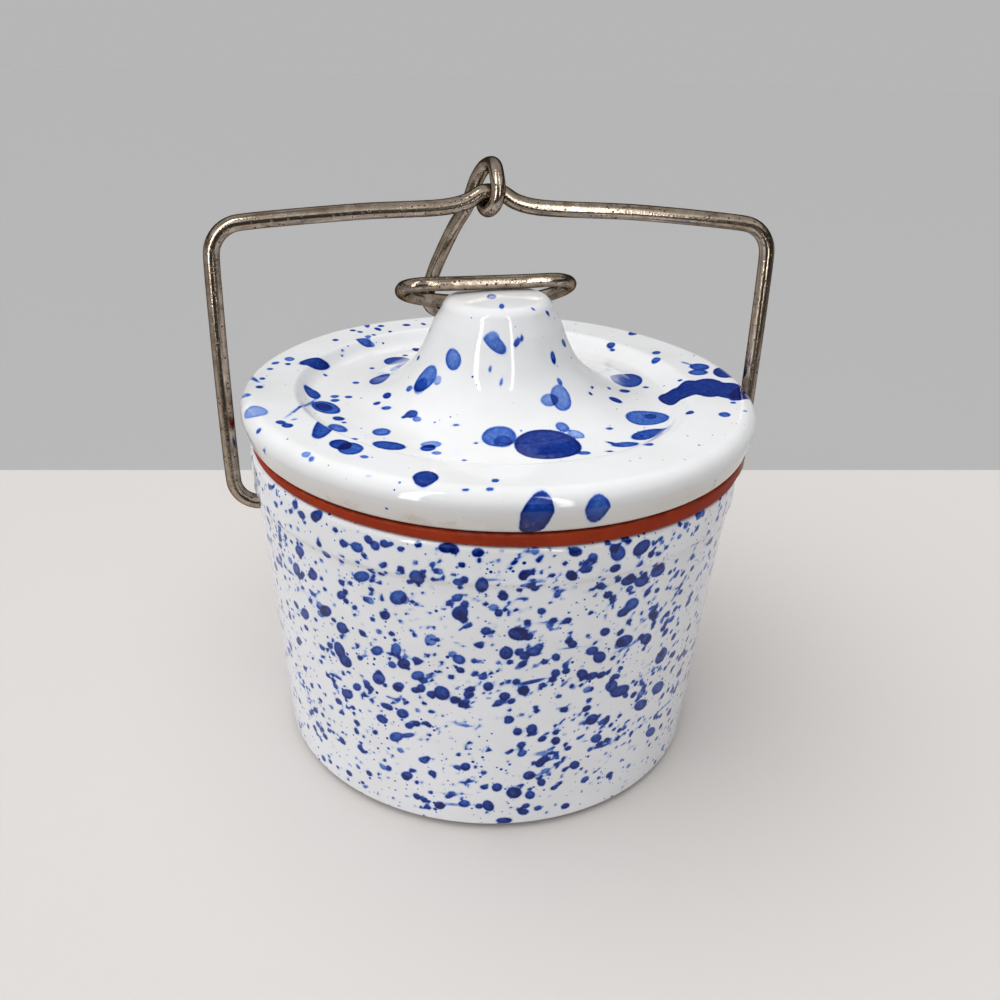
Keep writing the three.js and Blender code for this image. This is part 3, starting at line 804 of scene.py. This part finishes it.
def two_layers(drops):
    """Shares droplets between two layers, so that few in a layer touch, save the darkest."""
    layers = [[], []]
    for drop in drops:
        touching = [
            sum(np.linalg.norm(drop[0] - other[0]) < TOUCHING * (drop[2][1] + other[2][1])
                for other in layer)
            for layer in layers
        ]
        joins = drop[3] > JOINING_INK
        layers[0 if joins or touching[0] <= touching[1] else 1].append(drop)
    return layers


def keep_drops(piece, layers, depth):
    """Keeps at each point of a piece, for each layer of droplets, how many millimetres it lies
    outside the nearest droplet's edge, and how strong that droplet's blue is. Droplets of a layer
    run together, and layers lie over each other."""
    mesh = piece.data
    points = np.empty(len(mesh.vertices) * 3)
    mesh.vertices.foreach_get("co", points)
    points = points.reshape(-1, 3) / MM
    tree = KDTree(len(points))
    for i, point in enumerate(points):
        tree.insert(point, i)
    tree.balance()
    for layer, (drops, (unevenness, reach_over)) in enumerate(layers):
        edge = np.full(len(points), FAR)
        blue = np.zeros(len(points))
        for middle, axes, (length, width), ink in drops:
            near = np.array([i for _, i, _ in tree.find_range(middle, length + FAR)], int)
            lobes = [(k, rng.uniform(0, unevenness / k), rng.uniform(0, 2 * math.pi))
                     for k in (2, 3, 4)]
            if not len(near):
                continue
            inside = (points[near] - middle) @ axes / (length, width, depth)
            angle = np.arctan2(inside[:, 1], inside[:, 0])
            reach = np.linalg.norm(inside, axis=1)
            reach /= 1 + sum(size * np.cos(k * angle + turn) for k, size, turn in lobes)
            distance = (reach - 1) * min(1.3 * width, length)
            down = np.clip((middle[2] - points[near, 2]) / length, -1, 1)
            here = ink * (1 + POOLING * down)
            old_edge, old_blue = edge[near], blue[near]
            bridge = np.clip(1 - np.abs(distance - old_edge) / reach_over, 0, 1) ** 2
            edge[near] = np.minimum(distance, old_edge) - bridge * reach_over / 5
            share = np.clip((old_edge - distance) / INK_BLEND + 0.5, 0, 1)
            blue[near] = share * here + (1 - share) * old_blue
        for name, values in ((f"drop_edge_{layer}", edge), (f"drop_ink_{layer}", blue)):
            kept = mesh.attributes.new(name, "FLOAT", "POINT")
            kept.data.foreach_set("value", values)


# Materials, with their sizes in millimetres


class Nodes:
    """Short calls that build a node tree. Inputs are numbers, vectors, colours or sockets."""

    def __init__(self, tree):
        self.tree = tree

    def give(self, socket, value):
        if isinstance(value, bpy.types.NodeSocket):
            self.tree.links.new(value, socket)
        else:
            socket.default_value = value

    def add(self, kind, inputs, output=0, **settings):
        node = self.tree.nodes.new(kind)
        for name, value in settings.items():
            setattr(node, name, value)
        for name, value in inputs.items():
            self.give(node.inputs[name], value)
        return node if output is None else node.outputs[output]

    def math(self, operation, *values):
        return self.add("ShaderNodeMath", dict(enumerate(values)), operation=operation)

    def times(self, first, second):
        return self.math("MULTIPLY", first, second)

    def total(self, first, *others):
        for other in others:
            first = self.math("ADD", first, other)
        return first

    def vector(self, operation, *values, output=0):
        inputs = dict(enumerate(values))
        return self.add("ShaderNodeVectorMath", inputs, output, operation=operation)

    def split(self, vector):
        return self.add("ShaderNodeSeparateXYZ", {0: vector}, None).outputs

    def near(self, value, middle, reach):
        """1 at the middle and 0 from a reach away."""
        away = self.math("ABSOLUTE", self.math("SUBTRACT", value, middle))
        return self.step(away, 0, reach, 1, 0)

    def from_axis(self, place):
        """Distance from the z axis."""
        x, y, _ = self.split(place)
        flat = self.add("ShaderNodeCombineXYZ", {0: x, 1: y})
        return self.vector("LENGTH", flat, output="Value")

    def noise(self, vector, size, detail=2.0, roughness=0.5):
        inputs = {"Vector": vector, "Scale": 1 / size, "Detail": detail, "Roughness": roughness}
        return self.add("ShaderNodeTexNoise", inputs)

    def cells(self, vector, size, randomness=1.0, **settings):
        """Distance from the middle of a random cell in cell sizes, and the cell's three chances."""
        inputs = {"Vector": vector, "Scale": 1 / size, "Randomness": randomness}
        cells = self.add("ShaderNodeTexVoronoi", inputs, None, **settings).outputs
        chances = self.add("ShaderNodeSeparateColor", {"Color": cells["Color"]}, None).outputs
        return cells["Distance"], chances

    def step(self, value, start, end, low=0.0, high=1.0, kind="SMOOTHSTEP"):
        """Goes from low to high as the value goes from start to end."""
        inputs = {"Value": value, "From Min": start, "From Max": end, "To Min": low, "To Max": high}
        return self.add("ShaderNodeMapRange", inputs, interpolation_type=kind)

    def slope(self, *values):
        """A step without eased ends."""
        return self.step(*values, kind="LINEAR")

    def mix(self, share, first, second, blend="MIX"):
        node = self.add("ShaderNodeMix", {}, None, data_type="RGBA", blend_type=blend)
        for name, value in (("Factor", share), ("A", first), ("B", second)):
            socket = next(s for s in node.inputs if s.name == name and s.enabled)
            self.give(socket, (*value, 1) if isinstance(value, tuple) else value)
        return next(s for s in node.outputs if s.enabled)

    def ramp(self, value, stops):
        node = self.add("ShaderNodeValToRGB", {"Fac": value}, None)
        elements = node.color_ramp.elements
        while len(elements) < len(stops):
            elements.new(0.5)
        for element, (position, colour) in zip(elements, stops):
            element.position = position
            element.color = (*colour, 1)
        return node.outputs["Color"]


def grey(value):
    return (value, value, value)


def new_material(name):
    """The material, its nodes, and the place on the piece in millimetres."""
    material = bpy.data.materials.new(name)
    material.use_nodes = True
    nodes = Nodes(material.node_tree)
    inputs = {0: nodes.add("ShaderNodeTexCoord", {}, "Object"), "Scale": 1 / MM}
    return material, nodes, nodes.add("ShaderNodeVectorMath", inputs, operation="SCALE")


def finish_material(material, nodes, colour, rough, height, bumpiness, **fixed):
    """Gives the shader its colour, roughness, relief in millimetres and fixed values."""
    inputs = {"Height": height, "Distance": MM, "Strength": bumpiness}
    bump = nodes.add("ShaderNodeBump", inputs, "Normal")
    values = {"Base Color": colour, "Roughness": rough, "Normal": bump, **fixed}
    for name, value in values.items():
        nodes.give(material.node_tree.nodes["Principled BSDF"].inputs[name], value)
    return material


def specks(nodes, place, cell, sizes, share, inks, shift):
    """Strength of the blue of fine specks, at most one in each cell."""
    away, chances = nodes.cells(nodes.vector("ADD", place, shift), cell, 0.95)
    radius = nodes.slope(chances[0], 0, 1, *sizes)
    wanted = nodes.slope(nodes.noise(place, 13.0, 1.0), 0.3, 0.7, share * 0.4, share * 1.6)
    shown = nodes.math("LESS_THAN", chances[1], wanted)
    outside = nodes.math("SUBTRACT", nodes.times(away, cell), radius)
    ink = nodes.slope(chances[2], 0, 1, *inks)
    return nodes.times(nodes.times(nodes.step(outside, -0.07, 0.13, 1, 0), ink), shown)


def kept_pattern(nodes, place, speck_rows, ragged_rows):
    """Strength of the blue of a piece's droplets, ragged at their edges, and of its specks."""
    ragged = nodes.total(*[
        nodes.math("MULTIPLY_ADD", nodes.noise(place, size), reach, -reach / 2)
        for size, reach in ragged_rows
    ])
    low, high = DROP_EDGE[0][0], DROP_EDGE[-1][0]
    stops = [((at - low) / (high - low), grey(value)) for at, value in DROP_EDGE]
    parts = [specks(nodes, place, *row) for row in speck_rows]
    for layer in range(DROP_LAYERS):
        edge, ink = (
            nodes.add("ShaderNodeAttribute", {}, "Fac", attribute_name=f"drop_{name}_{layer}")
            for name in ("edge", "ink")
        )
        share = nodes.slope(nodes.math("ADD", edge, ragged), low, high)
        parts.append(nodes.times(nodes.ramp(share, stops), ink))
    return nodes.math("MINIMUM", nodes.total(*parts), INK_LIMIT - 0.1)


def crock_pattern(nodes, place):
    """Blue of the crock's outside wall."""
    ink = kept_pattern(nodes, place, CROCK_SPECKS, CROCK_RAGGED)
    wall = nodes.math("MULTIPLY_ADD", nodes.split(place)[2], *WALL_MIDDLE)
    outside = nodes.math("SUBTRACT", nodes.from_axis(place), wall)
    return nodes.times(ink, nodes.step(outside, 0, 0.6))


def lid_pattern(nodes, place):
    """Blue of the lid's top and edge."""
    ink = kept_pattern(nodes, place, LID_SPECKS, LID_RAGGED)
    return nodes.times(ink, nodes.step(nodes.split(place)[2], LID_UNDERSIDE, LID_UNDERSIDE + 1))


def glaze(name, white, pattern, stain_height):
    """White glaze with blue droplets, faint stains, pinholes and a slightly uneven surface."""
    material, nodes, place = new_material(name)
    ink = pattern(nodes, place)
    mottle = nodes.noise(place, 1.1, 4.0, 0.65)
    ink = nodes.times(ink, nodes.slope(mottle, 0.25, 0.75, 0.76, 1.22))
    stops = [(at / INK_LIMIT, colour) for at, colour in ((0, white), *INK_COLOURS)]
    blue = nodes.ramp(nodes.math("DIVIDE", ink, INK_LIMIT), stops)
    tint = nodes.mix(nodes.step(nodes.noise(place, 16.0, 3.0), 0.35, 0.7), PLAIN, CLOUD_TINT)
    colour = nodes.mix(1.0, blue, tint, "MULTIPLY")
    z = nodes.split(place)[2]
    patches = nodes.step(nodes.noise(place, 9.0, 5.0, 0.7), 0.5, 0.72)
    stain = nodes.times(nodes.near(z, stain_height, 2.6), patches)
    colour = nodes.mix(nodes.times(stain, 0.45), colour, STAIN)
    # The colour grows darker and warmer towards the lid's lower edge
    darker_low_edge = nodes.step(z, stain_height, stain_height + 6.0, 0.6, 0)
    colour = nodes.mix(darker_low_edge, colour, LOW_EDGE_TINT, "MULTIPLY")
    away, chances = nodes.cells(place, 5.0)
    rare = nodes.math("GREATER_THAN", chances[0], 0.7)
    pit = nodes.times(nodes.step(away, 0.02, 0.035, 1, 0), rare)
    colour = nodes.mix(nodes.times(pit, 0.6), colour, PINHOLE)
    # The foot is bare clay, painted dark as the shade of the contact under the crock; its roughness is
    # that of bare clay
    bare_shaded_foot = nodes.step(z, *BARE_SHADED_FOOT_HEIGHTS, 1, 0)
    colour = nodes.mix(bare_shaded_foot, colour, BARE_CLAY_DARKENED_AS_SHADE)
    gloss = nodes.slope(nodes.noise(place, 3.0, 3.0), 0.3, 0.7, 0.035, 0.08)
    rough = nodes.math("MAXIMUM", gloss, nodes.times(bare_shaded_foot, 0.75))
    height = nodes.total(
        nodes.times(nodes.noise(place, 11.0, 1.0), 0.09),
        nodes.times(nodes.noise(place, 2.2), 0.006),
        nodes.times(pit, -0.12),
    )
    fixed = {"IOR": 1.5, "Specular IOR Level": 0.32}
    return finish_material(material, nodes, colour, rough, height, 0.8, **fixed)


def rubber():
    """Red-brown rubber with faint moulding lines, dust and pale scuffs."""
    material, nodes, place = new_material("rubber")
    cloud = nodes.noise(place, 6.0, 4.0, 0.6)
    colour = nodes.ramp(cloud, RUBBER)
    z = nodes.split(place)[2]
    scuffs = nodes.step(nodes.noise(place, 2.5, 4.0), 0.4, 0.7)
    worn = nodes.times(nodes.near(z, GASKET_TOP, 0.5), scuffs)
    colour = nodes.mix(nodes.times(worn, 0.3), colour, WORN_RUBBER)
    dust = nodes.step(nodes.noise(place, 0.35, 3.0, 0.7), 0.62, 0.74)
    colour = nodes.mix(nodes.times(dust, 0.2), colour, DUST)
    rough = nodes.slope(cloud, 0.3, 0.7, 0.5, 0.68)
    lines = nodes.add("ShaderNodeCombineXYZ", {0: nodes.times(nodes.from_axis(place), 0.5), 2: z})
    height = nodes.total(
        nodes.times(nodes.noise(lines, 0.35), 0.05),
        nodes.times(nodes.noise(place, 0.25, 3.0), 0.05),
    )
    fixed = {"Specular IOR Level": 0.12}
    return finish_material(material, nodes, colour, rough, height, 0.7, **fixed)


def steel():
    """Plated wire, tarnished warm grey-brown, with drawing lines, scratches, small pits, and long dark
    streaks along it that are tarnish and also painted dark reflections.
    """
    material, nodes, place = new_material("steel")
    along = nodes.add("ShaderNodeUVMap", {}, uv_map="along_wire")
    cloud = nodes.noise(place, 3.2, 5.0, 0.62)
    colour = nodes.ramp(cloud, STEEL)
    drawn = nodes.noise(nodes.vector("MULTIPLY", along, (0.12, 1.6, 1.0)), 0.5, 3.0)
    # Long dark streaks along the wire, which are tarnish and also painted dark reflections
    lines = nodes.noise(nodes.vector("MULTIPLY", along, (0.03, 1.0, 1.0)), 1.3)
    colour = nodes.mix(nodes.step(drawn, 0.5, 0.75, 0, 0.4), colour, DRAWN_STEEL)
    colour = nodes.mix(nodes.step(lines, 0.52, 0.66, 0, 0.5), colour, DARK_STREAK_TARNISH_AND_REFLECTION)
    away, chances = nodes.cells(along, 1.3, voronoi_dimensions="2D")
    size = nodes.slope(chances[1], 0, 1, 0.08, 0.26)
    pit = nodes.step(nodes.math("DIVIDE", away, size), 0.6, 1.1, 1, 0)
    pit = nodes.times(pit, nodes.math("GREATER_THAN", chances[0], 0.6))
    nicks = nodes.noise(nodes.vector("MULTIPLY", along, (0.9, 0.35, 1.0)), 0.28, 1.0)
    marks = nodes.math("MAXIMUM", pit, nodes.times(nodes.step(nicks, 0.71, 0.77), 0.7))
    colour = nodes.mix(nodes.times(marks, 0.85), colour, PITTED_STEEL)
    rough = nodes.slope(cloud, 0.3, 0.7, 0.24, 0.13)
    rough = nodes.math("MAXIMUM", rough, nodes.times(marks, 0.7))
    height = nodes.total(
        nodes.times(nodes.noise(place, 0.5, 3.0), 0.045),
        nodes.times(drawn, 0.012),
        nodes.times(marks, -0.08),
    )
    fixed = {"Metallic": 1.0, "Specular Tint": STEEL_EDGE}
    return finish_material(material, nodes, colour, rough, height, 0.8, **fixed)


def dress(piece, body, node, material):
    """Puts a finished piece in a CAD node's place, on its body."""
    piece.data.materials.clear()
    piece.data.materials.append(material)
    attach(piece, body)
    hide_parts(node)


# Stage and light

# The pale floor ends, and the grey backdrop starts, on the line through these pixels
FLOOR_EDGE = ((0, 470), (1000, 470))
TABLE_REACH = 250.0  # to the sides of the picture
TABLE_DEPTH = 345.0
BACKDROP_REACH = 3000.0
PALE_FLOOR = (0.655, 0.628, 0.61)
GREY_BACKDROP = (0.424, 0.424, 0.425)
SEEN_WORLD = 0.46  # what the camera sees of the world, as pale as the backdrop
# World's strength by the sine of the height above the horizon
DOME = ((0.0, 0.47), (0.08, 0.45), (0.16, 0.10), (0.62, 0.08), (0.7, 0.6), (0.86, 0.6),
        (0.93, 0.08))
# What glaze and wire mirror in front: a soft box, with its strength by height, over a dark room
SOFT_BOX = (-0.07, -0.42, 0.905)
BOX_LIGHT = ((0.24, 0.0), (0.33, 1.15), (0.48, 0.95), (0.68, 0.6), (1.0, 0.5))
DARK_FRONT = (0.35, -0.94, 0.0)
# Even light from above, as from a large diffuser, which glaze and wire don't mirror, and two
# bright strips that they mirror, which don't light them otherwise. Rows are the name, the kind,
# the power, the place, the way to the light, its settings, and the setting that hides it
WINDOW = {"shape": "RECTANGLE", "size_y": 820 * MM}
LIGHTS = (
    ("diffuser", "SUN", 2.9, (0, 0, 0), (-0.31, -0.17, 0.935), {"angle": math.radians(90)},
     "visible_glossy"),
    ("left_window", "AREA", 1.9, (-296, -339, 450), (-296, -339, 0), {**WINDOW, "size": 56 * MM},
     "visible_diffuse"),
    ("right_window", "AREA", 1.2, (131, -430, 450), (131, -430, 0), {**WINDOW, "size": 38 * MM},
     "visible_diffuse"),
)


def add_floor(name, near, far, away, reach, colour):
    """Part of the floor, beyond the line from near to far, to the side that away points to. It
    reaches some way beyond the line's ends and away from it."""
    along = (far - near).normalized() * reach[0] * MM
    corners = (near - along, far + along)
    deep = away * reach[1] * MM
    mesh = bpy.data.meshes.new(name)
    mesh.from_pydata([*corners, *(corner + deep for corner in corners[::-1])], [], [(0, 1, 2, 3)])
    if mesh.polygons[0].normal.z < 0:
        mesh.flip_normals()
    floor = bpy.data.objects.new(name, mesh)
    bpy.context.scene.collection.objects.link(floor)
    material = bpy.data.materials.new(name)
    material.use_nodes = True
    values = {"Base Color": (*colour, 1), "Roughness": 0.6, "Specular IOR Level": 0.2}
    for socket, value in values.items():
        material.node_tree.nodes["Principled BSDF"].inputs[socket].default_value = value
    mesh.materials.append(material)


def on_floor(camera, x, y):
    """Point of the floor that the camera sees at a pixel."""
    eye, ray = camera.matrix_world.translation, pixel_ray(camera, x, y)
    return eye - ray * (eye.z / ray.z)


def add_world():
    """Pale near the horizon and dim overhead, so that glaze and wire have something to reflect.
    The camera sees it pale all over."""
    world = bpy.data.worlds.new("world")
    bpy.context.scene.world = world
    world.use_nodes = True
    nodes = Nodes(world.node_tree)
    way = nodes.add("ShaderNodeTexCoord", {}, "Generated")
    rise = nodes.split(way)[2]
    rays = nodes.add("ShaderNodeLightPath", {}, None).outputs
    front = nodes.vector("DOT_PRODUCT", way, DARK_FRONT, output="Value")
    dark = nodes.times(rays["Is Glossy Ray"], nodes.step(front, 0.1, 0.5, 0, 0.9))
    above = nodes.vector("DOT_PRODUCT", way, SOFT_BOX, output="Value")
    box = nodes.times(rays["Is Glossy Ray"], nodes.step(above, 0.3, 0.55))
    box = nodes.times(box, nodes.ramp(rise, [(at, grey(light)) for at, light in BOX_LIGHT]))
    dome = nodes.ramp(rise, [(at, grey(light)) for at, light in DOME])
    dome = nodes.times(dome, nodes.math("SUBTRACT", 1.0, dark))
    dome = nodes.math("MAXIMUM", dome, box)
    seen = nodes.times(rays["Is Camera Ray"], SEEN_WORLD)
    background = world.node_tree.nodes["Background"].inputs
    background["Color"].default_value = (*PLAIN, 1)
    nodes.give(background["Strength"], nodes.math("MAXIMUM", dome, seen))


def add_lights():
    for name, kind, power, place, way, settings, hidden_from in LIGHTS:
        data = bpy.data.lights.new(name, kind)
        for setting, value in {"energy": power, **settings}.items():
            setattr(data, setting, value)
        light = bpy.data.objects.new(name, data)
        turn = Vector(way).to_track_quat("Z", "Y").to_matrix().to_4x4()
        light.matrix_world = Matrix.Translation(Vector(place) * MM) @ turn
        setattr(light, hidden_from, False)
        bpy.context.scene.collection.objects.link(light)


# The scene

camera = add_camera()
crock, lid, gasket, bail, clamp = add_crock(), add_lid(), add_gasket(), add_bail(), add_clamp()
graph = bpy.context.evaluated_depsgraph_get()
for piece, rows, random_drops, depth in (
    (crock, CROCK_DROPS, wall_drops(), WALL_DROP_DEPTH),
    (lid, LID_DROPS, far_lid_drops(), LID_DROP_DEPTH),
):
    surface = BVHTree.FromObject(piece, graph)
    first, second = two_layers([seen_drop(camera, surface, *row) for row in rows])
    layers = (random_drops, RANDOM_OUTLINE), (first, SEEN_OUTLINE), (second, SEEN_OUTLINE)
    keep_drops(piece, layers, depth)
crock_glaze = glaze("crock_glaze", CROCK_WHITE, crock_pattern, NO_STAIN)
lid_glaze = glaze("lid_glaze", LID_WHITE, lid_pattern, LID_UNDERSIDE + 2)
wire_steel = steel()
dress(crock, "crock", "crock", crock_glaze)
dress(lid, "lid", "lid", lid_glaze)
dress(gasket, "lid", "gasket", rubber())
dress(bail, "bail", "bail", wire_steel)
dress(clamp, "clamp", "clamp", wire_steel)

edge = [on_floor(camera, *pixel) for pixel in FLOOR_EDGE]
back = Vector((0, 0, 1)).cross(edge[1] - edge[0]).normalized()
add_floor("floor", *edge, -back, (TABLE_REACH, TABLE_DEPTH), PALE_FLOOR)
add_floor("backdrop", *edge, back, (BACKDROP_REACH, BACKDROP_REACH), GREY_BACKDROP)
add_world()
add_lights()
bpy.context.scene.view_settings.view_transform = "Standard"
